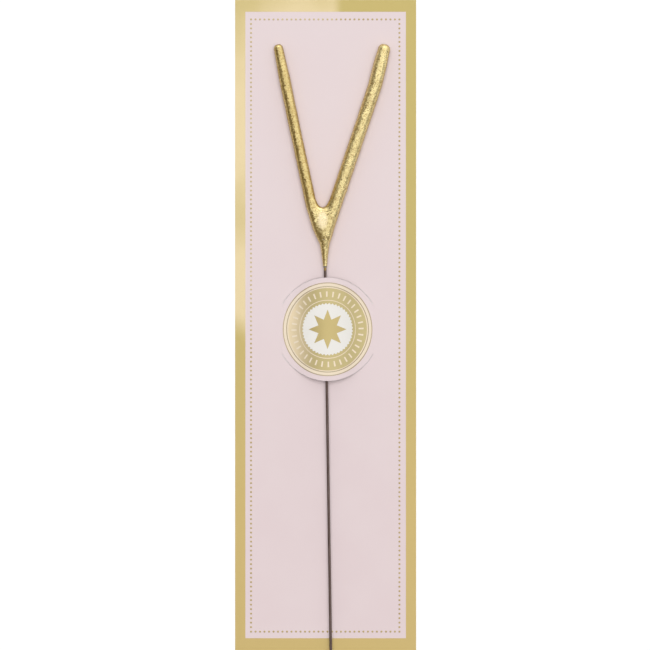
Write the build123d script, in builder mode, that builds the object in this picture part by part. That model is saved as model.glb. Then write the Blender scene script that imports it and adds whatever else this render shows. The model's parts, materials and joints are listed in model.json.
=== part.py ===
from build123d import *
import os
from math import asin, atan2, cos, degrees, hypot, radians, sin, tan

# A forked hand sparkler on its presentation card, in millimetres.
# The card lies on Z = 0 with its front towards +Z and the sparkler's head towards +Y.

# Card and foil
card_width = 70.0
card_height = 252.0
board_thickness = 0.4
foil_thickness = 0.05
border_side = 3.95
border_top = 4.65
border_bottom = 5.05

# Round seal: a disc of the board between two arc slits, bowed up over the stem
seal_x = 0.75
seal_y = -1.45
seal_radius = 20.0
slit_width = 0.16
bow_margin = 2.5
bridge_clearance = 0.6

# Foil rings and star on the seal, from its edge inwards
line_margin = 1.95
line_width = 0.35
line_gap = 1.05
band_gap = 0.4
band_width = 6.3
star_gap = 2.0
star_depth = 3.6
star_points = 8

# Where the sparkler lies: its fork point, the stem's slant on the card, and the gap under its belly
fork_x = -0.37
fork_y = 32.7
stem_tilt = 0.86
belly_clearance = 0.25

# Wires, in the sparkler's own plane: x to the right, y up the stem, from the fork point
wire_diameter = 1.1
stem_length = 158.3
stem_bend_start = 10.6
knee_radius = 150.0
right_knee_x = 20.3
right_knee_y = 59.5
right_tip_x = 24.5
right_tip_y = 75.3
left_knee_x = -12.2
left_knee_y = 50.5
left_tip_x = -17.0
left_tip_y = 75.9
tail_height = -2.6
weld_gap = 0.06
wire_cover = 3.0

# Weld beads in the two valleys between the wires
bead_radius = 0.5
bead_length = 1.8
bead_rise = 0.07

# Lacquer film, and the composition under it as thicknesses over the wire
film_thickness = 0.12
coat_end = 10.3
coat_end_build = 0.13
taper_build = 0.56
taper_height = -6.0
collar_build = 1.65
collar_height = 0.4
right_build = 1.95
right_shoulder_x = 2.3
right_shoulder_y = 8.5
left_build = 1.41
left_root_y = -1.35
left_shoulder_x = -3.9
left_shoulder_y = 8.5
arm_start = -2.5
tip_slimming = 0.4
tip_roundness = 0.88

# How an arm swells out of the fork: shares of the way to its shoulder, and of its full radius there
start_swell = 0.5
fork_share = 0.2
fork_swell = 0.92
upper_share = 0.65
upper_swell = 0.96
shoulder_share = 0.1
slim_share = 0.5

# The web of composition that fills the crotch
web_thickness = 3.56
web_top = 18.0
notch_x = -0.6
notch_y = 15.05
notch_radius = 2.37
notch_roundness = 0.65

# Sizes that follow
wire_radius = wire_diameter / 2
head_radius = wire_radius + max(right_build, left_build) + film_thickness
axis_height = board_thickness + belly_clearance + head_radius
bow_height = axis_height + wire_radius + bridge_clearance
bow_half_span = seal_radius - bow_margin
bow_radius = (bow_half_span**2 + bow_height**2) / (4 * bow_height)
bow_angle = asin(bow_half_span / (2 * bow_radius))
bow_share = sin(bow_angle) / bow_angle
right_lean = atan2(right_knee_x, right_knee_y)
stem_bend_radius = stem_bend_start / tan(right_lean / 2)
outer_line_radius = seal_radius - line_margin
inner_line_radius = outer_line_radius - line_width - line_gap
band_outer_radius = inner_line_radius - line_width - band_gap
band_inner_radius = band_outer_radius - band_width
star_outer_radius = band_inner_radius - star_gap
star_inner_radius = star_outer_radius - star_depth
seal_cut_height = bow_height + seal_radius

right_root = (0, 0)
right_shoulder = (right_shoulder_x, right_shoulder_y)
right_knee = (right_knee_x, right_knee_y)
right_tip = (right_tip_x, right_tip_y)
left_root = (0, left_root_y)
left_shoulder = (left_shoulder_x, left_shoulder_y)
left_knee = (left_knee_x, left_knee_y)
left_tip = (left_tip_x, left_tip_y)

seal_plane = Plane(origin=(seal_x, seal_y, 0))
bow_plane = Plane(origin=(seal_x, seal_y, 0), x_dir=(1, 0, 0), z_dir=(0, -1, 0))
sparkler_plane = Plane(
    origin=(fork_x, fork_y, axis_height),
    x_dir=(cos(radians(stem_tilt)), sin(radians(stem_tilt)), 0),
    z_dir=(0, 0, 1),
)


def bow_curve(lift):
    """Draws the line of the bowed disc at a height above its underside."""
    shoulder_x = bow_half_span / 2 + lift * sin(bow_angle)
    shoulder_z = bow_height / 2 + lift * cos(bow_angle)
    Line((-seal_radius, lift), (-bow_half_span, lift))
    rise = TangentArc((-bow_half_span, lift), (-shoulder_x, shoulder_z), tangent=(1, 0))
    crown = TangentArc((-shoulder_x, shoulder_z), (shoulder_x, shoulder_z), tangent=rise % 1)
    TangentArc((shoulder_x, shoulder_z), (bow_half_span, lift), tangent=crown % 1)
    Line((bow_half_span, lift), (seal_radius, lift))


def bowed_sheet(low, high):
    """A sheet that follows the bow between two heights above the disc's underside."""
    with BuildPart() as sheet:
        with BuildSketch(bow_plane):
            with BuildLine():
                bow_curve(low)
                bow_curve(high)
                Line((-seal_radius, low), (-seal_radius, high))
                Line((seal_radius, low), (seal_radius, high))
            make_face()
        extrude(amount=seal_radius, both=True)
    return sheet.part


def bowed_round(radius, mode=Mode.ADD):
    """Draws a circle stamped on the flat disc, narrowed by the bow."""
    Ellipse(bow_share * radius, radius, mode=mode)


def sparkler_section(x, y, lean):
    """The plane square to the sparkler's own plane at x, y, facing up at a lean in degrees to the right."""
    facing = sparkler_plane.x_dir * sin(radians(lean)) + sparkler_plane.y_dir * cos(radians(lean))
    return Plane(sparkler_plane.from_local_coords((x, y, 0)), x_dir=(0, 0, 1), z_dir=facing)


def lean_between(low, high):
    """Lean to the right, in degrees, of the line from one point up to another."""
    return degrees(atan2(high[0] - low[0], high[1] - low[1]))


def point_between(low, high, share):
    """The point a given share of the way from one point to another."""
    return (low[0] + share * (high[0] - low[0]), low[1] + share * (high[1] - low[1]))


def short_of(low, high, gap):
    """The point on the line from low to high that stops a gap before high."""
    return point_between(low, high, 1 - gap / hypot(high[0] - low[0], high[1] - low[1]))


def dipped_arm(root, shoulder, knee, tip, build, film):
    """One arm of the dipped head, from inside the fork to its rounded tip, under a film."""
    root_lean = lean_between(root, shoulder)
    low_lean = lean_between(shoulder, knee)
    high_lean = lean_between(knee, tip)
    full = wire_radius + build + film
    tip_radius = full - tip_slimming
    stations = [
        ((0, arm_start), 0, start_swell * full),
        (point_between(root, shoulder, fork_share), root_lean, fork_swell * full),
        (point_between(root, shoulder, upper_share), root_lean, upper_swell * full),
        (point_between(shoulder, knee, shoulder_share), low_lean, full),
        (knee, (low_lean + high_lean) / 2, full),
        (point_between(knee, tip, slim_share), high_lean, full),
        (short_of(knee, tip, -film), high_lean, tip_radius),
    ]
    with BuildPart() as arm:
        for (x, y), lean, radius in stations:
            with BuildSketch(sparkler_section(x, y, lean)):
                Circle(radius)
        loft(ruled=True)
        tip_face = arm.faces().filter_by(GeomType.PLANE).sort_by(Axis.Y)[-1]
        fillet(tip_face.edges(), tip_roundness * tip_radius)
    return arm.part


def dipped_taper(film):
    """The neck of the head, swelling from the bare stem up into the fork, under a film."""
    end_radius = wire_radius + coat_end_build + film
    taper_radius = wire_radius + taper_build + film
    collar_radius = wire_radius + collar_build + film
    with BuildPart() as taper:
        with BuildSketch(sparkler_plane):
            with BuildLine():
                Spline(
                    (end_radius, -coat_end),
                    (taper_radius, taper_height),
                    (collar_radius, collar_height),
                )
                Polyline(
                    (collar_radius, collar_height),
                    (0, collar_height),
                    (0, -coat_end),
                    (end_radius, -coat_end),
                )
            make_face()
        revolve(axis=Axis(sparkler_plane.origin, sparkler_plane.y_dir))
    return taper.part


def crotch_web(film):
    """The plate of composition between the arms, with a round notch at its top, under a film."""
    right_corner = point_between(right_root, right_knee, web_top / right_knee_y)
    left_share = (web_top - left_shoulder_y) / (left_knee_y - left_shoulder_y)
    left_corner = point_between(left_shoulder, left_knee, left_share)
    notch = notch_radius - film
    half_thickness = web_thickness / 2 + film
    with BuildPart() as web:
        with BuildSketch(sparkler_plane):
            with BuildLine():
                Polyline(
                    (0, collar_height),
                    right_corner,
                    (notch_x + notch, notch_y),
                    (notch_x - notch, notch_y),
                    left_corner,
                    left_shoulder,
                    close=True,
                )
            make_face()
            with Locations((notch_x, notch_y)):
                Circle(notch, mode=Mode.SUBTRACT)
        extrude(amount=half_thickness, both=True)
        fillet(web.edges().filter_by(GeomType.CIRCLE), notch_roundness * half_thickness)
    return web.part


def dipped_head(film):
    """The whole dipped head as one form, under a film."""
    forms = [
        dipped_taper(film),
        dipped_arm(right_root, right_shoulder, right_knee, right_tip, right_build, film),
        dipped_arm(left_root, left_shoulder, left_knee, left_tip, left_build, film),
        crotch_web(film),
    ]
    with BuildPart() as head:
        for form in forms:
            add(form)
    return head.part


# Board of the card, open where its disc is cut free above and below
with BuildPart() as card_board:
    with BuildSketch():
        Rectangle(card_width, card_height)
    extrude(amount=board_thickness)
    with BuildSketch(seal_plane):
        Circle(seal_radius + slit_width / 2)
        Rectangle(2 * bow_half_span, 2 * seal_radius + 2 * slit_width, mode=Mode.INTERSECT)
    extrude(amount=board_thickness, mode=Mode.SUBTRACT)
card_board.part.label = "card_board"

# The disc itself, bowed up into a bridge that meets the board at its left and right folds
bridge_sheet = bowed_sheet(0, board_thickness)
with BuildPart() as seal_bridge:
    add(bridge_sheet)
    with BuildSketch(seal_plane):
        Circle(seal_radius - slit_width / 2)
        Rectangle(2 * bow_half_span, 2 * seal_radius, mode=Mode.INTERSECT)
    extrude(amount=seal_cut_height, mode=Mode.INTERSECT)
seal_bridge.part.label = "seal_bridge"

# Foil along the card's four edges
panel_width = card_width - 2 * border_side
panel_height = card_height - border_top - border_bottom
with BuildPart() as foil_border:
    with BuildSketch(Plane.XY.offset(board_thickness)):
        Rectangle(card_width, card_height)
        with Locations((0, (border_bottom - border_top) / 2)):
            Rectangle(panel_width, panel_height, mode=Mode.SUBTRACT)
    extrude(amount=foil_thickness)
foil_border.part.label = "foil_border"

# Foil rings and star, which follow the bow of the seal
seal_foil = bowed_sheet(board_thickness, board_thickness + foil_thickness)

with BuildPart() as seal_lines:
    add(seal_foil)
    with BuildSketch(seal_plane):
        for radius in (outer_line_radius, inner_line_radius):
            bowed_round(radius)
            bowed_round(radius - line_width, mode=Mode.SUBTRACT)
    extrude(amount=seal_cut_height, mode=Mode.INTERSECT)
seal_lines.part.label = "seal_lines"

with BuildPart() as seal_band:
    add(seal_foil)
    with BuildSketch(seal_plane):
        bowed_round(band_outer_radius)
        bowed_round(band_inner_radius, mode=Mode.SUBTRACT)
    extrude(amount=seal_cut_height, mode=Mode.INTERSECT)
seal_band.part.label = "seal_band"

star_corners = []
for corner in range(2 * star_points):
    reach = star_inner_radius if corner % 2 else star_outer_radius
    turn = radians(90 + 180 * corner / star_points)
    star_corners.append((bow_share * reach * cos(turn), reach * sin(turn)))

with BuildPart() as seal_star:
    add(seal_foil)
    with BuildSketch(seal_plane):
        Polygon(*star_corners, align=None)
    extrude(amount=seal_cut_height, mode=Mode.INTERSECT)
seal_star.part.label = "seal_star"

# Stem wire, bent at the fork to run on inside the right arm
with BuildPart() as stem_wire:
    with BuildLine(sparkler_plane) as stem_path:
        FilletPolyline(
            (0, -stem_length),
            (0, 0),
            right_knee,
            short_of(right_knee, right_tip, wire_cover),
            radius=[stem_bend_radius, knee_radius],
        )
    with BuildSketch(Plane(stem_path.line @ 0, z_dir=stem_path.line % 0)):
        Circle(wire_radius)
    sweep(path=stem_path.line)
stem_wire.part.label = "stem_wire"

# Branch wire of the left arm, its tail beside the stem's bend
stem_shift = (tail_height + stem_bend_start) ** 2 / (2 * stem_bend_radius)
tail = (stem_shift - wire_diameter - weld_gap, tail_height)
with BuildPart() as branch_wire:
    with BuildLine(sparkler_plane) as branch_path:
        FilletPolyline(
            tail,
            left_shoulder,
            left_knee,
            short_of(left_knee, left_tip, wire_cover),
            radius=knee_radius,
        )
    with BuildSketch(Plane(branch_path.line @ 0, z_dir=branch_path.line % 0)):
        Circle(wire_radius)
    sweep(path=branch_path.line)
branch_wire.part.label = "branch_wire"

# Weld beads in the front and back valleys between the two wires
valley_x = (stem_shift + tail[0]) / 2
with BuildPart() as weld_spots:
    for side in (-1, 1):
        bead_z = side * (wire_radius + bead_rise)
        bead_foot = sparkler_plane.from_local_coords((valley_x, tail_height, bead_z))
        with BuildSketch(Plane(bead_foot, z_dir=sparkler_plane.y_dir)):
            Circle(bead_radius)
        extrude(amount=bead_length)
    add(stem_wire.part, mode=Mode.SUBTRACT)
    add(branch_wire.part, mode=Mode.SUBTRACT)
weld_spots.part.label = "weld_spots"

# Spark composition dipped over both wires, and the lacquer film on it
core_form = dipped_head(0)
coat_form = dipped_head(film_thickness)

with BuildPart() as spark_compound:
    add(core_form)
    add(stem_wire.part, mode=Mode.SUBTRACT)
    add(branch_wire.part, mode=Mode.SUBTRACT)
    add(weld_spots.part, mode=Mode.SUBTRACT)
spark_compound.part.label = "spark_compound"

with BuildPart() as gold_coat:
    add(coat_form)
    add(core_form, mode=Mode.SUBTRACT)
gold_coat.part.label = "gold_coat"

os.makedirs("parts", exist_ok=True)
pieces = [
    card_board,
    seal_bridge,
    foil_border,
    seal_lines,
    seal_band,
    seal_star,
    stem_wire,
    branch_wire,
    weld_spots,
    spark_compound,
    gold_coat,
]
for piece in pieces:
    export_step(piece.part, f"parts/{piece.part.label}.step")
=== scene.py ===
import json
import math
import bpy
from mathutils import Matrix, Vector

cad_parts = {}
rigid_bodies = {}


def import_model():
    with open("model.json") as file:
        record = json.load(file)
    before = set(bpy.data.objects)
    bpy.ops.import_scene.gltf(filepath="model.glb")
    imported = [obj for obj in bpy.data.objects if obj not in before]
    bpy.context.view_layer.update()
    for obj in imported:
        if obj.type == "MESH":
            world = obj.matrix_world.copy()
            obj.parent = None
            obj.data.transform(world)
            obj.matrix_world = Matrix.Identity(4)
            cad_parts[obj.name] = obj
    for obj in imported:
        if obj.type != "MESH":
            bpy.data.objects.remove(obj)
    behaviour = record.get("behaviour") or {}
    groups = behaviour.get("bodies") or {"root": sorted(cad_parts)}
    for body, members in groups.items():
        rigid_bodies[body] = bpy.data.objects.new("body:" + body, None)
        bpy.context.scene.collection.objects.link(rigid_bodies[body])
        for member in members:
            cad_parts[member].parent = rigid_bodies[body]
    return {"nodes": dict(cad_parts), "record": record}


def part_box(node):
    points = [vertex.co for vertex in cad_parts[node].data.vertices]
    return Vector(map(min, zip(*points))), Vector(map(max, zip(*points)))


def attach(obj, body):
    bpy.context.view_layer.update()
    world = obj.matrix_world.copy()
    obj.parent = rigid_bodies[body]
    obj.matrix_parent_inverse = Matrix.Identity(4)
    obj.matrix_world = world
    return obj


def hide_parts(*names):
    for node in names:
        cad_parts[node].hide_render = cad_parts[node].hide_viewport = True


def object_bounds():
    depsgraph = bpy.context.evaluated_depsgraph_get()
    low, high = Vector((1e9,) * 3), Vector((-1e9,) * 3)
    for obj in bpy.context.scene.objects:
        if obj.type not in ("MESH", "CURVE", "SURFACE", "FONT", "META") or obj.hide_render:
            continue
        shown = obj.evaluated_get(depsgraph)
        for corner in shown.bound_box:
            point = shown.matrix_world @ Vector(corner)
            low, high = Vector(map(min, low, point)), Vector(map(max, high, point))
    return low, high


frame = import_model()
cadLow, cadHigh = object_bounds()
mm = 0.001
print("frame loaded:", len(frame["nodes"]), "CAD nodes")


# Small helpers

def tone(red, green, blue):
    # screen colour 0 to 255 as a shader colour
    values = []
    for part in (red, green, blue):
        share = part / 255
        values.append(share / 12.92 if share <= 0.04045 else ((share + 0.055) / 1.055) ** 2.4)
    return (*values, 1.0)


def clearSelection():
    if bpy.context.object and bpy.context.object.mode != "OBJECT":
        bpy.ops.object.mode_set(mode="OBJECT")
    bpy.ops.object.select_all(action="DESELECT")


def pickOnly(*pieces):
    clearSelection()
    for piece in pieces:
        piece.select_set(True)
    bpy.context.view_layer.objects.active = pieces[0]


def nameActive(name):
    piece = bpy.context.object
    piece.name = name
    piece.data.name = name
    return piece


def joinPieces(pieces, name):
    pickOnly(*pieces)
    bpy.ops.object.join()
    return nameActive(name)


def settle(piece):
    # place, turn and scale go into the mesh
    pickOnly(piece)
    bpy.ops.object.transform_apply(location=True, rotation=True, scale=True)


def applyModifier(piece, kind, **settings):
    pickOnly(piece)
    bpy.ops.object.modifier_add(type=kind)
    modifier = piece.modifiers[-1]
    for key, value in settings.items():
        setattr(modifier, key, value)
    bpy.ops.object.modifier_apply(modifier=modifier.name)


def cleanMesh(piece):
    pickOnly(piece)
    bpy.ops.object.mode_set(mode="EDIT")
    bpy.ops.mesh.select_all(action="SELECT")
    bpy.ops.mesh.remove_doubles(threshold=0.000002)
    bpy.ops.mesh.normals_make_consistent(inside=False)
    bpy.ops.object.mode_set(mode="OBJECT")


def dress(piece, material):
    piece.data.materials.clear()
    piece.data.materials.append(material)


class Graph:
    # a node tree, with short ways to add and join nodes
    def __init__(self, tree):
        self.tree = tree
        self.coords = tree.nodes.new("ShaderNodeTexCoord")

    def add(self, kind, inputs=(), **settings):
        node = self.tree.nodes.new(kind)
        for key, value in settings.items():
            setattr(node, key, value)
        for index, value in dict(inputs).items():
            self.feed(node.inputs[index], value)
        return node

    def feed(self, socket, value):
        if isinstance(value, bpy.types.NodeSocket):
            self.tree.links.new(value, socket)
        else:
            socket.default_value = value

    def math(self, operation, first, second=0.0, third=0.0):
        return self.add("ShaderNodeMath", {0: first, 1: second, 2: third}, operation=operation).outputs[0]

    def squareSum(self, first, second):
        return self.math("ADD", self.math("MULTIPLY", first, first), self.math("MULTIPLY", second, second))

    def vector(self, operation, inputs):
        return self.add("ShaderNodeVectorMath", inputs, operation=operation).outputs

    def ramp(self, value, low, high, to=(0.0, 1.0)):
        # smooth step from low to high
        return self.add(
            "ShaderNodeMapRange",
            {0: value, 1: low, 2: high, 3: to[0], 4: to[1]},
            interpolation_type="SMOOTHSTEP",
        ).outputs[0]

    def mix(self, share, first, second):
        return self.add("ShaderNodeMix", {0: share, 6: first, 7: second}, data_type="RGBA").outputs[2]

    def noise(self, size, detail=2.0, roughness=0.5):
        # size is the pattern's grain in metres
        where = self.coords.outputs["Object"]
        return self.add(
            "ShaderNodeTexNoise",
            {"Vector": where, "Scale": 1 / size, "Detail": detail, "Roughness": roughness},
        ).outputs["Fac"]

    def bump(self, height, depth, strength):
        return self.add(
            "ShaderNodeBump", {"Height": height, "Distance": depth, "Strength": strength}
        ).outputs["Normal"]

    def place(self):
        return self.add("ShaderNodeSeparateXYZ", {0: self.coords.outputs["Object"]}).outputs


class Finish(Graph):
    # a material's node tree, with its shader
    def __init__(self, name):
        self.material = bpy.data.materials.new(name)
        self.material.use_nodes = True
        super().__init__(self.material.node_tree)
        self.shader = self.tree.nodes["Principled BSDF"]

    def give(self, socket, value):
        self.feed(self.shader.inputs[socket], value)


# Stage: camera over the card, pale floor, soft light from the head's end

studio = {
    "viewSpan": 251.5 * mm,             # card length that the picture's height takes in
    "viewCentre": (-0.24 * mm, 0.2 * mm),
    "cameraHeight": 1200 * mm,
    "cameraReach": 20,
    "floorSize": 20.0,
    "floorDrop": 0.1 * mm,
    "floorGrey": (0.86, 0.86, 0.86, 1),
    "floorRough": 0.9,
    "floorLift": 0.22,                  # keeps the ground white to the camera
    "skyBase": 0.33,
    "skyLean": (-0.04, 0.15, 0.12),     # brighter to the right, towards the head and overhead
    "metalLean": (0.19, 0.4, 0.12),     # the same for what metal reflects
    "skyRange": (0.25, 0.95),
    "warmShade": (1.0, 0.82, 0.55, 1.0),   # the room's darker side, as metal reflects it
    "warmUpTo": (0.27, 0.45),
    "white": (1, 1, 1, 1),
    # lights the card, off the metal
    "overhead": {"turn": (-6, 2, 0), "width": 42, "power": 1.77},
    # at the head's end, for the shine of metal, and its bright middle
    "softBox": {"turn": (-37, 0, -33), "width": 106, "power": 1.36},
    "glint": {"turn": (-56, 0, -14), "width": 30, "power": 0.4},
}


def setCamera():
    clearSelection()
    place = (*studio["viewCentre"], studio["cameraHeight"])
    bpy.ops.object.camera_add(location=place, rotation=(0, 0, 0))
    camera = bpy.context.object
    camera.data.lens = camera.data.sensor_width * studio["cameraHeight"] / studio["viewSpan"]
    camera.data.clip_end = studio["cameraReach"]
    bpy.context.scene.camera = camera


def layFloor():
    clearSelection()
    bpy.ops.mesh.primitive_plane_add(size=studio["floorSize"], location=(0, 0, -studio["floorDrop"]))
    floor = nameActive("floor")
    paint = Finish("paleFloor")
    paint.give("Base Color", studio["floorGrey"])
    paint.give("Roughness", studio["floorRough"])
    paint.give("Emission Color", studio["white"])
    rays = paint.add("ShaderNodeLightPath").outputs
    seen = paint.math("MAXIMUM", rays["Is Camera Ray"], rays["Is Glossy Ray"])
    seen = paint.math("MAXIMUM", seen, rays["Is Transmission Ray"])
    x, y, z = paint.place()
    beside = paint.math("GREATER_THAN", paint.math("ABSOLUTE", x), cadHigh.x)
    beyond = paint.math("GREATER_THAN", paint.math("ABSOLUTE", y), cadHigh.y)
    clear = paint.math("MAXIMUM", beside, beyond)   # no lift under the card
    lift = paint.math("MULTIPLY", paint.math("MULTIPLY", seen, clear), studio["floorLift"])
    paint.give("Emission Strength", lift)
    dress(floor, paint.material)


def paintSky():
    world = bpy.data.worlds.new("softSky")
    bpy.context.scene.world = world
    world.use_nodes = True
    room = Graph(world.node_tree)
    metal = room.add("ShaderNodeLightPath").outputs["Is Glossy Ray"]
    lean = room.add(
        "ShaderNodeMix", {0: metal, 4: studio["skyLean"], 5: studio["metalLean"]}, data_type="VECTOR"
    ).outputs[1]
    slope = room.vector("DOT_PRODUCT", {0: room.coords.outputs["Generated"], 1: lean})["Value"]
    level = room.math("ADD", slope, studio["skyBase"])
    least, most = studio["skyRange"]
    level = room.add("ShaderNodeClamp", {"Value": level, "Min": least, "Max": most}).outputs[0]
    warmest, palest = studio["warmUpTo"]
    pale = room.add("ShaderNodeMapRange", {0: level, 1: warmest, 2: palest}).outputs[0]
    pale = room.math("MAXIMUM", pale, room.math("SUBTRACT", 1.0, metal))   # warm to metal alone
    sky = world.node_tree.nodes["Background"]
    room.feed(sky.inputs["Strength"], level)
    room.feed(sky.inputs["Color"], room.mix(pale, studio["warmShade"], studio["white"]))


def hangLamp(lamp):
    clearSelection()
    bpy.ops.object.light_add(type="SUN", location=(0, 0, 1))
    sun = bpy.context.object
    sun.rotation_euler = [math.radians(angle) for angle in lamp["turn"]]
    sun.data.angle = math.radians(lamp["width"])
    sun.data.energy = lamp["power"]
    return sun


def setStage():
    bpy.context.scene.view_settings.view_transform = "Standard"
    setCamera()
    layFloor()
    paintSky()
    hangLamp(studio["overhead"]).visible_glossy = False
    hangLamp(studio["softBox"]).visible_diffuse = False
    hangLamp(studio["glint"]).visible_diffuse = False


setStage()
print("stage set")


# Places taken from the frame

stemMount = next(mount for mount in frame["record"]["mounts"] if mount["name"] == "stem")
stemUp = -Vector(stemMount["axis"]).normalized()
stemSide = Vector((stemUp.y, -stemUp.x, 0))
forkAbove = 148.3 * mm   # from the stem's mount up to the fork
forkPoint = Vector(stemMount["pos_m"]) + stemUp * forkAbove

cardLow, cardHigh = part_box("card_board")
foilLow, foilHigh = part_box("foil_border")
bridgeLow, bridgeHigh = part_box("seal_bridge")
linesLow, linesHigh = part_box("seal_lines")
bandLow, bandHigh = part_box("seal_band")
boardThick = cardHigh.z - cardLow.z
foilThick = foilHigh.z - foilLow.z
sealCentre = (bridgeLow + bridgeHigh) / 2
bowSpan = (bridgeHigh.x - bridgeLow.x) / 2
bowRise = bridgeHigh.z - boardThick
bowRadius = (bowSpan**2 + bowRise**2) / (4 * bowRise)
bowTurn = math.asin(bowSpan / (2 * bowRadius))   # the steepest slope, halfway to a fold
sealRound = {
    "line": (linesHigh.y - linesLow.y) / 2,
    "band": (bandHigh.y - bandLow.y) / 2,
}


def onSparkler(across, along):
    # a point in the sparkler's own plane, in mm from its fork
    return forkPoint + (stemSide * across + stemUp * along) * mm


def onBow(across, lift):
    # where a point of the flat disc goes once it is bowed: x, and height of a layer over its underside
    reach = abs(across)
    side = math.copysign(1, across)
    if reach < bowRadius * bowTurn:
        turn = reach / bowRadius
        x = (bowRadius + lift) * math.sin(turn)
        height = bowRise - bowRadius + (bowRadius + lift) * math.cos(turn)
    else:
        turn = max(0.0, 2 * bowTurn - reach / bowRadius)
        x = bowSpan - (bowRadius - lift) * math.sin(turn) + max(0.0, reach - 2 * bowRadius * bowTurn)
        height = bowRadius - (bowRadius - lift) * math.cos(turn)
    return sealCentre.x + side * x, height


# Finishes

boardPrint = {
    "topPink": tone(234, 218, 219),
    "lowPink": tone(229, 211, 212),
    "pinkFade": (-110 * mm, 90 * mm),   # up the card
    "palePink": tone(236, 222, 222),
    "fibrePink": tone(224, 205, 206),
    "cream": tone(241, 226, 203),
    "white": tone(240, 237, 231),
    "creamInset": 0.2 * mm,             # under the outer line
    "creamDepth": 5.6 * mm,             # in from the band's outer edge
    "whiteDepth": 5.5 * mm,
    "blur": 0.05 * mm,
    "core": (tone(226, 222, 214), tone(240, 238, 232)),
    "fibre": 0.35 * mm,
    "cloud": 18 * mm,
    "rough": (0.62, 0.78),
    "gloss": 0.3,
    "relief": 0.02 * mm,
}


def printedBoard():
    # pale pink print on white board, with the seal's white and cream grounds
    paint = Finish("printedBoard")
    x, y, z = paint.place()
    fibre = paint.noise(boardPrint["fibre"], 4.0, 0.6)
    cloud = paint.noise(boardPrint["cloud"], 2.0)
    pink = paint.mix(paint.ramp(y, *boardPrint["pinkFade"]), boardPrint["lowPink"], boardPrint["topPink"])
    pink = paint.mix(paint.ramp(cloud, 0.3, 0.75, (0.0, 0.22)), pink, boardPrint["palePink"])
    pink = paint.mix(paint.ramp(fibre, 0.62, 0.8, (0.0, 0.35)), pink, boardPrint["fibrePink"])

    # radius on the disc as it was printed, before it was bowed
    reach = paint.math("ABSOLUTE", paint.math("SUBTRACT", x, sealCentre.x))
    crown = paint.math("MULTIPLY", reach, 1 / (bowRadius + boardThick))
    crown = paint.math("MULTIPLY", paint.math("ARCSINE", crown), bowRadius)
    fold = paint.math("MULTIPLY", paint.math("SUBTRACT", bowSpan, reach), 1 / (bowRadius - boardThick))
    fold = paint.math("MULTIPLY", paint.math("ARCSINE", fold), bowRadius)
    fold = paint.math("SUBTRACT", 2 * bowTurn * bowRadius, fold)
    isFold = paint.math("GREATER_THAN", reach, (bowRadius + boardThick) * math.sin(bowTurn))
    further = paint.math("MULTIPLY", isFold, paint.math("SUBTRACT", fold, crown))
    across = paint.math("ADD", crown, further)
    up = paint.math("SUBTRACT", y, sealCentre.y)
    radius = paint.math("SQRT", paint.squareSum(across, up))

    blur = boardPrint["blur"]
    creamOut = sealRound["line"] - boardPrint["creamInset"]
    creamIn = sealRound["band"] - boardPrint["creamDepth"]
    whiteOut = sealRound["band"] - boardPrint["whiteDepth"]
    cream = paint.math(
        "MULTIPLY",
        paint.ramp(radius, creamIn - blur, creamIn + blur),
        paint.ramp(radius, creamOut + blur, creamOut - blur),
    )
    white = paint.ramp(radius, whiteOut + blur, whiteOut - blur)
    front = paint.mix(cream, pink, boardPrint["cream"])
    front = paint.mix(white, front, boardPrint["white"])

    facing = paint.add("ShaderNodeSeparateXYZ", {0: paint.coords.outputs["Normal"]}).outputs[2]
    core = paint.mix(paint.ramp(fibre, 0.35, 0.7), *boardPrint["core"])
    paint.give("Base Color", paint.mix(paint.ramp(facing, 0.3, 0.5), core, front))
    paint.give("Roughness", paint.ramp(fibre, 0.2, 0.8, boardPrint["rough"]))
    paint.give("Specular IOR Level", boardPrint["gloss"])
    paint.give("Normal", paint.bump(fibre, boardPrint["relief"], 0.5))
    return paint.material


foilGrainAndPaintedSheen = {
    "cloud": 30 * mm,
    "grain": 0.25 * mm,
    "slant": 0.7,                       # of the painted sheen's lower edge
    "upper": (-30 * mm, -17 * mm),
    "corner": (6 * mm, 34 * mm),        # the painted sheen fades again towards the top left corner
    "cornerShare": 0.45,
    "lowFade": (-90 * mm, 40 * mm),
    "grainTone": tone(186, 164, 100),
    "roughSpan": (-0.06, 0.1),
    "relief": 0.006 * mm,
}


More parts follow.
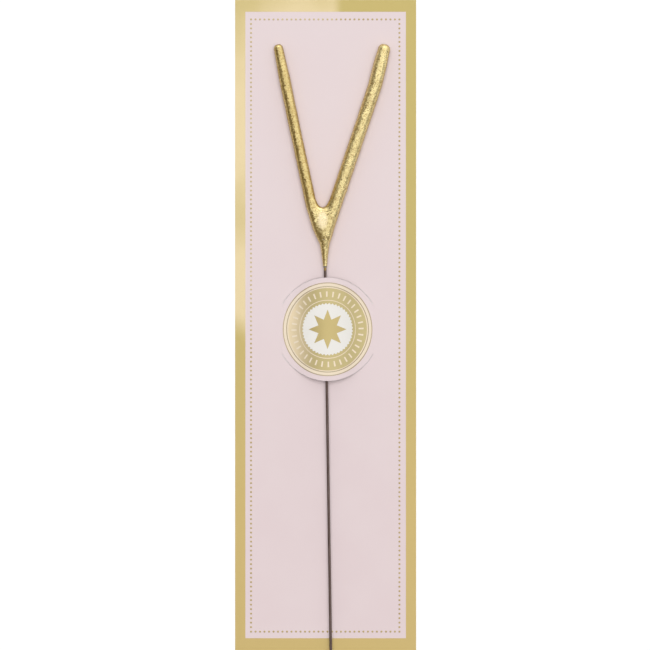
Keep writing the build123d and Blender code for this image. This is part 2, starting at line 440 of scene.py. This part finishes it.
def goldFoil(name, deep, pale, rough, metal=0.75, low=None, paintedSheenEdge=(7 * mm, 2 * mm)):
    # stamped foil, paler in the upper left of the card where a sheen is painted on, standing in for
    # reflected light
    paint = Finish(name)
    x, y, z = paint.place()
    cloud = paint.noise(foilGrainAndPaintedSheen["cloud"], 2.0)
    grain = paint.noise(foilGrainAndPaintedSheen["grain"], 3.0, 0.65)
    # painted sheen mask: left of an edge and above a slanted line, standing in for reflected light
    left = paint.ramp(x, *paintedSheenEdge)
    slant = paint.math("MULTIPLY_ADD", x, foilGrainAndPaintedSheen["slant"], y)
    upper = paint.ramp(slant, *foilGrainAndPaintedSheen["upper"])
    paintedSheen = paint.math("MULTIPLY", left, upper)
    cornerAt = cardLow.x - cardHigh.y
    near, far = (cornerAt + reach for reach in foilGrainAndPaintedSheen["corner"])
    corner = paint.ramp(paint.math("SUBTRACT", x, y), near, far, (foilGrainAndPaintedSheen["cornerShare"], 1.0))
    paintedSheen = paint.math("MULTIPLY", paintedSheen, corner)
    paintedSheen = paint.math("MULTIPLY", paintedSheen, paint.ramp(cloud, 0.3, 0.6, (0.55, 1.0)))
    if low:
        deep = paint.mix(paint.ramp(y, *foilGrainAndPaintedSheen["lowFade"]), low, deep)   # painted reflection too: the deep tone turns a little paler towards the stem's end
    # the pale tone is the painted sheen's colour
    colour = paint.mix(paintedSheen, deep, pale)
    colour = paint.mix(paint.ramp(grain, 0.55, 0.8, (0.0, 0.3)), colour, foilGrainAndPaintedSheen["grainTone"])
    paint.give("Base Color", colour)
    paint.give("Metallic", metal)
    smoothest, roughest = (rough + step for step in foilGrainAndPaintedSheen["roughSpan"])
    paint.give("Roughness", paint.ramp(grain, 0.2, 0.8, (smoothest, roughest)))
    paint.give("Normal", paint.bump(grain, foilGrainAndPaintedSheen["relief"], 0.4))
    return paint.material


lacquer = {
    "patch": 5 * mm,
    "flake": 0.37 * mm,
    "askew": (0.25, 0.25, 0.25),        # how far a flake tilts
    # base tone, and a brighter tone painted on where more light falls
    "baseTone": tone(207, 185, 122),
    "full": tone(238, 220, 160),
    "fullShare": 0.7,
    "rightArm": (-1 * mm, 5 * mm),
    "fork": (18 * mm, 8 * mm),
    "pit": tone(160, 121, 56),
    "pitChance": 0.45,
    "pitShare": 0.6,
    # painted highlight in the fork: where it lies, its size, tone and share
    "paintedHighlightAt": (-0.75, 7.9),             # across and along from the fork, in mm
    "paintedHighlightSize": (2.1 * mm, 3.7 * mm),
    "paintedHighlightFront": 1 * mm,
    "paintedHighlightTone": tone(240, 222, 184),
    "paintedHighlightShare": 0.75,
    "highlightLean": (0.05, 0.08, 0.28),     # normals in the painted highlight lean this way, up and a little towards the soft box
    "rough": (0.3, 0.24),
    "rim": tone(170, 164, 150),
    "coat": 0.4,
    "coatRough": 0.22,
}


def dippedGold():
    # metallic lacquer full of fine flakes, each lying a little askew
    paint = Finish("dippedGold")
    patch = paint.noise(lacquer["patch"], 3.0)
    where = paint.coords.outputs["Object"]
    flake = paint.add("ShaderNodeTexVoronoi", {"Vector": where, "Scale": 1 / lacquer["flake"]})
    flake = flake.outputs["Color"]
    chance = paint.add("ShaderNodeSeparateColor", {0: flake}).outputs[0]
    x, y, z = paint.place()
    # masks of the painted brightening: the right arm, and the fork and neck
    rightArm = paint.ramp(x, *lacquer["rightArm"])
    fork = paint.ramp(y, *(forkPoint.y + above for above in lacquer["fork"]))
    fuller = paint.math("MAXIMUM", rightArm, fork)   # painted light: brighter on the right arm and round the fork and neck than on the left arm
    patches = paint.ramp(patch, 0.3, 0.7, (0.0, 0.3))
    patchesAndPaintedBright = paint.math("MULTIPLY_ADD", fuller, lacquer["fullShare"], patches)
    colour = paint.mix(patchesAndPaintedBright, lacquer["baseTone"], lacquer["full"])

    # a painted highlight on the front of the fork: a paler tone, fewer dark pits, and normals leaning
    # towards the soft box
    middle = onSparkler(*lacquer["paintedHighlightAt"])
    highlightWide, highlightTall = lacquer["paintedHighlightSize"]
    wide = paint.math("MULTIPLY", paint.math("SUBTRACT", x, middle.x), 1 / highlightWide)
    tall = paint.math("MULTIPLY", paint.math("SUBTRACT", y, middle.y), 1 / highlightTall)
    front = paint.ramp(z, forkPoint.z, forkPoint.z + lacquer["paintedHighlightFront"])
    paintedHighlight = paint.math("MULTIPLY", paint.ramp(paint.squareSum(wide, tall), 1.4, 0.2), front)
    paintedHighlightShare = paint.math("MULTIPLY", paintedHighlight, lacquer["paintedHighlightShare"])
    colour = paint.mix(paintedHighlightShare, colour, lacquer["paintedHighlightTone"])
    pits = paint.ramp(chance, lacquer["pitChance"], 0.0, (0.0, lacquer["pitShare"]))
    pits = paint.math("MULTIPLY", pits, paint.math("SUBTRACT", 1.0, paintedHighlightShare))
    paint.give("Base Color", paint.mix(pits, colour, lacquer["pit"]))

    upright = paint.add("ShaderNodeNewGeometry").outputs["Normal"]
    askew = paint.vector("SUBTRACT", {0: flake, 1: (0.5, 0.5, 0.5)})[0]
    tilted = paint.vector("MULTIPLY_ADD", {0: askew, 1: lacquer["askew"], 2: upright})[0]
    # inside the painted highlight the normals lean towards the soft box
    level = paint.vector("SCALE", {0: lacquer["highlightLean"], "Scale": paintedHighlight})[0]
    tilted = paint.vector("ADD", {0: tilted, 1: level})[0]
    paint.give("Normal", paint.vector("NORMALIZE", {0: tilted})[0])
    paint.give("Metallic", 1.0)
    paint.give("Roughness", paint.ramp(patch, 0.3, 0.75, lacquer["rough"]))
    paint.give("Specular Tint", lacquer["rim"])
    paint.give("Coat Weight", lacquer["coat"])
    paint.give("Coat Roughness", lacquer["coatRough"])
    return paint.material


steel = {
    "drawLines": (9000, 260, 9000),     # fine across the wire and long along it
    "patch": 3 * mm,
    "dark": tone(92, 77, 73),
    "pale": tone(126, 109, 104),
    "stain": tone(64, 48, 44),
    "speck": 0.5 * mm,
    "speckTone": tone(164, 138, 84),
    "dipEnd": -10.3,                    # along from the fork, in mm
    "speckReach": (-2.2 * mm, 0.2 * mm),
    "metal": 0.85,
    "rough": (0.32, 0.5),
    "relief": 0.01 * mm,
}


def drawnSteel():
    # dull dark wire with fine lines along its draw, and gold specks where the dip ends
    paint = Finish("drawnSteel")
    x, y, z = paint.place()
    where = paint.coords.outputs["Object"]
    along = paint.add("ShaderNodeMapping", {"Vector": where, "Scale": steel["drawLines"]}).outputs[0]
    lines = paint.add("ShaderNodeTexNoise", {"Vector": along, "Scale": 1.0, "Detail": 3.0}).outputs["Fac"]
    patch = paint.noise(steel["patch"], 3.0)
    colour = paint.mix(paint.ramp(lines, 0.35, 0.7), steel["dark"], steel["pale"])
    colour = paint.mix(paint.ramp(patch, 0.55, 0.8, (0.0, 0.5)), colour, steel["stain"])
    speck = paint.noise(steel["speck"], 2.0)
    dipEnd = onSparkler(0, steel["dipEnd"]).y
    fade = paint.ramp(y, *(dipEnd + reach for reach in steel["speckReach"]), (-0.35, 0.5))
    speck = paint.ramp(paint.math("ADD", speck, fade), 0.5, 0.62)
    paint.give("Base Color", paint.mix(speck, colour, steel["speckTone"]))
    paint.give("Metallic", steel["metal"])
    paint.give("Roughness", paint.ramp(lines, 0.2, 0.8, steel["rough"]))
    paint.give("Normal", paint.bump(lines, steel["relief"], 0.5))
    return paint.material


composition = {
    "grain": 0.4 * mm,
    "dark": tone(96, 94, 92),
    "pale": tone(140, 138, 134),
    "rough": (0.75, 0.95),
    "relief": 0.08 * mm,
}


def greyCompound():
    # dry spark composition with iron grains, under the lacquer
    paint = Finish("greyCompound")
    grain = paint.noise(composition["grain"], 3.0, 0.7)
    colour = paint.mix(paint.ramp(grain, 0.4, 0.65), composition["dark"], composition["pale"])
    paint.give("Base Color", colour)
    paint.give("Roughness", paint.ramp(grain, 0.3, 0.7, composition["rough"]))
    paint.give("Normal", paint.bump(grain, composition["relief"], 0.7))
    return paint.material


boardFinish = printedBoard()
# each foil: deep tone, a paler painted sheen tone for reflected light, roughness, metal, and a lower tone
foilFinish = goldFoil(
    "goldFoil", tone(197, 179, 113), tone(232, 213, 169), 0.4, 0.55, tone(207, 183, 121)
)
# the seal's painted sheen lies on the left of the disc
sealFinish = goldFoil(
    "sealFoil", tone(198, 182, 130), tone(242, 223, 189), 0.45, 0.3, paintedSheenEdge=(-3 * mm, -13 * mm)
)
starFinish = goldFoil("starFoil", tone(195, 175, 117), tone(198, 179, 121), 0.45, 0.3)
lineFinish = goldFoil("lineFoil", tone(176, 155, 122), tone(188, 170, 140), 0.45, 0.3)
dotFinish = goldFoil("dotFoil", tone(190, 168, 116), tone(208, 189, 146), 0.4)
goldFinish = dippedGold()
wireFinish = drawnSteel()
compoundFinish = greyCompound()
nodes = frame["nodes"]
for node in ("card_board", "seal_bridge"):
    dress(nodes[node], boardFinish)
dress(nodes["foil_border"], foilFinish)
dress(nodes["seal_star"], starFinish)
dress(nodes["seal_lines"], lineFinish)
for node in ("branch_wire", "weld_spots"):
    dress(nodes[node], wireFinish)
dress(nodes["spark_compound"], compoundFinish)
print("finishes mixed")


# Dotted foil line inside the border

dotLine = {
    "insetLeft": 2.2 * mm,
    "insetRight": 2.5 * mm,
    "insetTop": 2.95 * mm,
    "insetBottom": 2.55 * mm,
    "dotRadius": 0.4 * mm,
    "topShare": 0.8,              # a dot's top against its foot
    "pitch": 1.735 * mm,
    "sides": 12,
    "borderSide": 3.95 * mm,
    "borderTop": 4.65 * mm,
    "borderBottom": 5.05 * mm,
}


def dotRow(start, step, count):
    clearSelection()
    bpy.ops.mesh.primitive_circle_add(
        vertices=dotLine["sides"], radius=dotLine["dotRadius"], fill_type="NGON", location=start
    )
    row = bpy.context.object
    bpy.ops.object.mode_set(mode="EDIT")
    bpy.ops.mesh.select_all(action="SELECT")
    bpy.ops.mesh.extrude_region_move(TRANSFORM_OT_translate={"value": (0, 0, foilThick)})
    bpy.ops.transform.resize(value=(dotLine["topShare"], dotLine["topShare"], 1), center_override=start)
    bpy.ops.object.mode_set(mode="OBJECT")
    settle(row)
    applyModifier(
        row, "ARRAY", count=count, use_relative_offset=False, use_constant_offset=True,
        constant_offset_displace=step,
    )
    return row


def layDots():
    left = cardLow.x + dotLine["borderSide"] + dotLine["insetLeft"]
    right = cardHigh.x - dotLine["borderSide"] - dotLine["insetRight"]
    top = cardHigh.y - dotLine["borderTop"] - dotLine["insetTop"]
    bottom = cardLow.y + dotLine["borderBottom"] + dotLine["insetBottom"]
    columns = round((right - left) / dotLine["pitch"])
    rows = round((top - bottom) / dotLine["pitch"])
    stepX = (right - left) / columns
    stepY = (top - bottom) / rows
    z = cardHigh.z
    lines = [
        dotRow((left, top, z), (stepX, 0, 0), columns),
        dotRow((right, top, z), (0, -stepY, 0), rows),
        dotRow((right, bottom, z), (-stepX, 0, 0), columns),
        dotRow((left, bottom, z), (0, stepY, 0), rows),
    ]
    dots = joinPieces(lines, "foil_dots")
    cleanMesh(dots)
    dress(dots, dotFinish)
    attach(dots, "card")
    return 2 * (columns + rows)


print("foil dots laid:", layDots())


# Foil band of the seal: a toothed inner ring and an outer ring pierced by rays

sealFoil = {
    "turns": 288,
    "toothEvery": 6,              # segments per tooth of the inner edge
    "toothDepth": 0.55 * mm,
    "innerRing": (9.6, 10.2, 11.05),
    "outerRing": (11.3, 12.5, 13.2, 13.9, 14.6, 15.3, 15.9),
    "rayRing": (12.5, 14.6),
    "rayEvery": 8,
    "rayWide": 2,
    "bedShare": 0.2,              # of the foil's height, sunk in the board
}


def foilRing(radii):
    # stamped flat, round the disc's own middle
    clearSelection()
    bpy.ops.mesh.primitive_circle_add(
        vertices=sealFoil["turns"], radius=radii[0] * mm, fill_type="NOTHING"
    )
    ring = bpy.context.object
    bpy.ops.object.mode_set(mode="EDIT")
    bpy.ops.mesh.select_all(action="SELECT")
    for inner, outer in zip(radii, radii[1:]):
        bpy.ops.mesh.extrude_edges_move()
        grow = outer / inner
        bpy.ops.transform.resize(value=(grow, grow, 1), center_override=(0, 0, 0))
    bpy.ops.object.mode_set(mode="OBJECT")
    return ring


def segmentOf(place):
    turn = math.atan2(place.y, place.x) % (2 * math.pi)
    return turn / (2 * math.pi) * sealFoil["turns"]


def cutRays(ring):
    low, high = (radius * mm for radius in sealFoil["rayRing"])
    pickOnly(ring)
    for face in ring.data.polygons:
        inRing = low < face.center.xy.length < high
        inRay = int(segmentOf(face.center)) % sealFoil["rayEvery"] < sealFoil["rayWide"]
        face.select = inRing and inRay
    bpy.ops.object.mode_set(mode="EDIT")
    bpy.ops.mesh.select_mode(type="FACE")
    bpy.ops.mesh.delete(type="FACE")
    bpy.ops.object.mode_set(mode="OBJECT")


def cutTeeth(ring):
    # each tooth rises and falls over its segments
    every = sealFoil["toothEvery"]
    for point in ring.data.vertices:
        radius = point.co.xy.length
        if radius < (sealFoil["innerRing"][0] + 0.1) * mm:
            step = (segmentOf(point.co) + 0.01) % every
            rise = 1 - abs(step / every * 2 - 1)
            grow = 1 + rise * sealFoil["toothDepth"] / radius
            point.co.x *= grow
            point.co.y *= grow


def layOnBow(piece, lift):
    for point in piece.data.vertices:
        x, height = onBow(point.co.x, lift)
        point.co = (x, point.co.y + sealCentre.y, height)


def stampBand():
    inner = foilRing(sealFoil["innerRing"])
    outer = foilRing(sealFoil["outerRing"])
    cutTeeth(inner)
    cutRays(outer)
    band = joinPieces([inner, outer], "seal_band_foil")
    cleanMesh(band)
    layOnBow(band, boardThick + sealFoil["bedShare"] * foilThick)
    applyModifier(band, "SOLIDIFY", thickness=(1 - sealFoil["bedShare"]) * foilThick, offset=1.0)
    dress(band, sealFinish)
    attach(band, "card")
    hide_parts("seal_band")


stampBand()
print("seal band stamped")


# Dipped head: arms, neck and web as swelling paths, fused, smoothed and grained

dippedHead = {
    # points across and along from the fork, and the radius there, in mm
    "rightArm": [
        (0.0, -2.5, 1.4), (0.46, 1.7, 2.34), (1.5, 5.5, 2.46), (2.6, 9.4, 2.52), (4.1, 13.6, 2.54),
        (8.4, 25.8, 2.52), (12.0, 36.0, 2.55), (15.6, 46.2, 2.52), (19.0, 55.8, 2.56),
        (20.4, 59.7, 2.55), (21.4, 63.6, 2.54), (22.4, 67.4, 2.5), (23.3, 70.6, 2.3), (23.95, 73.0, 2.2),
    ],
    "leftArm": [
        (0.0, -2.5, 1.2), (-0.8, 0.6, 1.84), (-2.5, 5.0, 1.94), (-3.7, 8.3, 1.98), (-4.7, 12.7, 2.0),
        (-7.5, 26.7, 1.98), (-9.6, 37.2, 2.02), (-11.5, 47.0, 1.98), (-12.2, 50.6, 1.99),
        (-12.9, 54.2, 2.0), (-13.9, 59.4, 2.0), (-14.5, 63.0, 2.1), (-15.0, 65.4, 1.95),
        (-15.8, 69.6, 1.8), (-16.5, 73.2, 1.7), (-16.66, 74.15, 1.66),
    ],
    "neck": [
        (0.0, -10.3, 0.68), (0.0, -8.6, 0.8), (0.0, -6.0, 1.1), (0.0, -3.0, 1.58), (-0.15, 0.6, 2.2),
        (-0.4, 4.0, 2.46), (-0.6, 7.0, 2.5), (-0.6, 10.0, 2.15),
    ],
    "web": [
        (-4.9, 16.0, 1.6), (-4.6, 14.2, 1.76), (-3.5, 12.2, 1.86), (-2.1, 11.1, 1.94),
        (-0.6, 10.75, 1.96), (0.9, 11.1, 1.94), (2.3, 12.2, 1.86), (3.4, 14.2, 1.76), (4.4, 16.4, 1.6),
    ],
    "webLeft": [
        (-0.9, 2.0, 1.9), (-1.55, 5.0, 2.25), (-2.15, 8.4, 2.25), (-3.0, 11.2, 2.05), (-4.0, 13.6, 1.75),
    ],
    "webRight": [
        (0.3, 2.0, 2.1), (0.7, 5.0, 2.35), (1.0, 8.4, 2.35), (1.9, 11.2, 2.25), (3.1, 13.6, 1.95),
    ],
    "tipRounds": [(23.95, 72.95, 2.2), (-16.66, 74.1, 1.64)],
    "voxel": 0.182 * mm,
    "smoothFactor": 0.5,
    "smoothing": 24,
    "forkSmoothing": 130,
    "forkReach": (-4.0, 1.0, 12.0, 17.0),   # along the stem, where the fork is smoothed further
    "cover": 0.04 * mm,                     # least height over the compound
    "coverSmoothing": 60,
    "coat": 0.13 * mm,                      # further height of the lacquer
    "neckThinning": (-1.5, 4.0, 0.25),      # it thins down the neck between these, to this share
    "swell": (6 * mm, 0.2 * mm),            # size and height of the slow unevenness
    "grain": (0.5 * mm, 0.05 * mm),         # size and height of the grains
    "leastFilm": 0.02 * mm,                 # over the compound, at the end
}


def swellingPath(points, name):
    clearSelection()
    bpy.ops.curve.primitive_nurbs_path_add()
    path = nameActive(name)
    spline = path.data.splines[0]
    spline.points.add(len(points) - len(spline.points))
    for point, (across, along, radius) in zip(spline.points, points):
        point.co = (*onSparkler(across, along), 1)
        point.radius = radius
    spline.order_u = 4
    spline.use_endpoint_u = True
    path.location = (0, 0, 0)
    path.data.resolution_u = 10
    path.data.bevel_depth = mm
    path.data.bevel_resolution = 6
    path.data.use_fill_caps = True
    bpy.ops.object.convert(target="MESH")
    return bpy.context.object


def tipRound(across, along, radius):
    clearSelection()
    bpy.ops.mesh.primitive_uv_sphere_add(
        segments=32, ring_count=16, radius=radius * mm, location=onSparkler(across, along)
    )
    ball = bpy.context.object
    settle(ball)
    return ball


def coreCopy():
    # the compound that the lacquer lies on, so that nothing of it is left bare
    pickOnly(nodes["spark_compound"])
    bpy.ops.object.duplicate()
    bpy.ops.object.parent_clear(type="CLEAR_KEEP_TRANSFORM")
    core = bpy.context.object
    cleanMesh(core)
    return core


def alongStem(point):
    return (point.co - forkPoint).dot(stemUp) / mm


def forkGroup(head):
    # weight of the further smoothing, fading out above and below the fork
    group = head.vertex_groups.new(name="fork")
    low, lowFull, highFull, high = dippedHead["forkReach"]
    for point in head.data.vertices:
        along = alongStem(point)
        weight = min((along - low) / (lowFull - low), (high - along) / (high - highFull), 1.0)
        if weight > 0:
            group.add([point.index], weight, "REPLACE")
    return group.name


def filmGroup(head):
    # share of the lacquer's height, full over the arms and least down the neck
    group = head.vertex_groups.new(name="film")
    low, high, least = dippedHead["neckThinning"]
    for point in head.data.vertices:
        share = min(max((alongStem(point) - low) / (high - low), 0.0), 1.0)
        group.add([point.index], least + (1 - least) * share, "REPLACE")
    return group.name


def smoothHead(head, rounds, group=""):
    applyModifier(
        head, "SMOOTH", factor=dippedHead["smoothFactor"], iterations=rounds, vertex_group=group
    )


def coverCompound(head, height):
    applyModifier(
        head, "SHRINKWRAP", target=nodes["spark_compound"], wrap_mode="OUTSIDE", offset=height
    )


def unevenFilm(head, name, depth, film):
    # clouds of a size and height pushed into the lacquer
    size, height = dippedHead[name]
    texture = bpy.data.textures.new(name, type="CLOUDS")
    texture.noise_scale = size
    texture.noise_depth = depth
    applyModifier(
        head, "DISPLACE", texture=texture, texture_coords="LOCAL",
        strength=height, mid_level=0.5, vertex_group=film,
    )


def dipHead():
    paths = ("rightArm", "leftArm", "neck", "web", "webLeft", "webRight")
    forms = [swellingPath(dippedHead[key], key) for key in paths]
    forms += [tipRound(*tip) for tip in dippedHead["tipRounds"]]
    forms.append(coreCopy())
    head = joinPieces(forms, "gold_dip")
    applyModifier(
        head, "REMESH", mode="VOXEL", voxel_size=dippedHead["voxel"], use_smooth_shade=True
    )
    smoothHead(head, dippedHead["smoothing"])
    fork = forkGroup(head)
    smoothHead(head, dippedHead["forkSmoothing"], fork)
    coverCompound(head, dippedHead["cover"])
    smoothHead(head, dippedHead["coverSmoothing"], fork)
    film = filmGroup(head)
    applyModifier(head, "DISPLACE", strength=dippedHead["coat"], mid_level=0.0, vertex_group=film)
    unevenFilm(head, "swell", 2, film)
    unevenFilm(head, "grain", 1, film)
    coverCompound(head, dippedHead["leastFilm"])
    pickOnly(head)
    bpy.ops.object.shade_smooth()
    dress(head, goldFinish)
    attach(head, "sparkler")
    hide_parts("gold_coat")
    return len(head.data.polygons)


print("head dipped, faces:", dipHead())


# Stem wire, from its cut end up into the right arm

stemWire = {
    "radius": 0.55,
    "route": [
        (0.0, -158.3), (0.0, -157.0), (0.0, -120.0), (0.0, -80.0), (0.0, -40.0), (0.0, -18.0),
        (0.0, -9.0), (0.4, -1.5), (2.4, 7.0), (6.0, 17.6), (13.6, 40.0), (19.1, 56.0), (21.3, 63.2),
        (23.73, 72.4),
    ],
    "cutBevel": 0.12 * mm,
    "cutReach": 0.02 * mm,        # what counts as the cut end
    "sharpFrom": 40,
}


def drawWire():
    route = [(across, along, stemWire["radius"]) for across, along in stemWire["route"]]
    wire = swellingPath(route, "stem")
    cleanMesh(wire)
    pickOnly(wire)
    cutAbove = onSparkler(*stemWire["route"][0]).y + stemWire["cutReach"]
    for edge in wire.data.edges:
        edge.select = all(wire.data.vertices[i].co.y < cutAbove for i in edge.vertices)
    bpy.ops.object.mode_set(mode="EDIT")
    bpy.ops.mesh.select_mode(type="EDGE")
    bpy.ops.mesh.bevel(offset=stemWire["cutBevel"], segments=3)
    bpy.ops.object.mode_set(mode="OBJECT")
    pickOnly(wire)
    bpy.ops.object.shade_smooth_by_angle(angle=math.radians(stemWire["sharpFrom"]))
    dress(wire, wireFinish)
    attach(wire, "sparkler")
    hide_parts("stem_wire")


drawWire()
print("stem drawn")
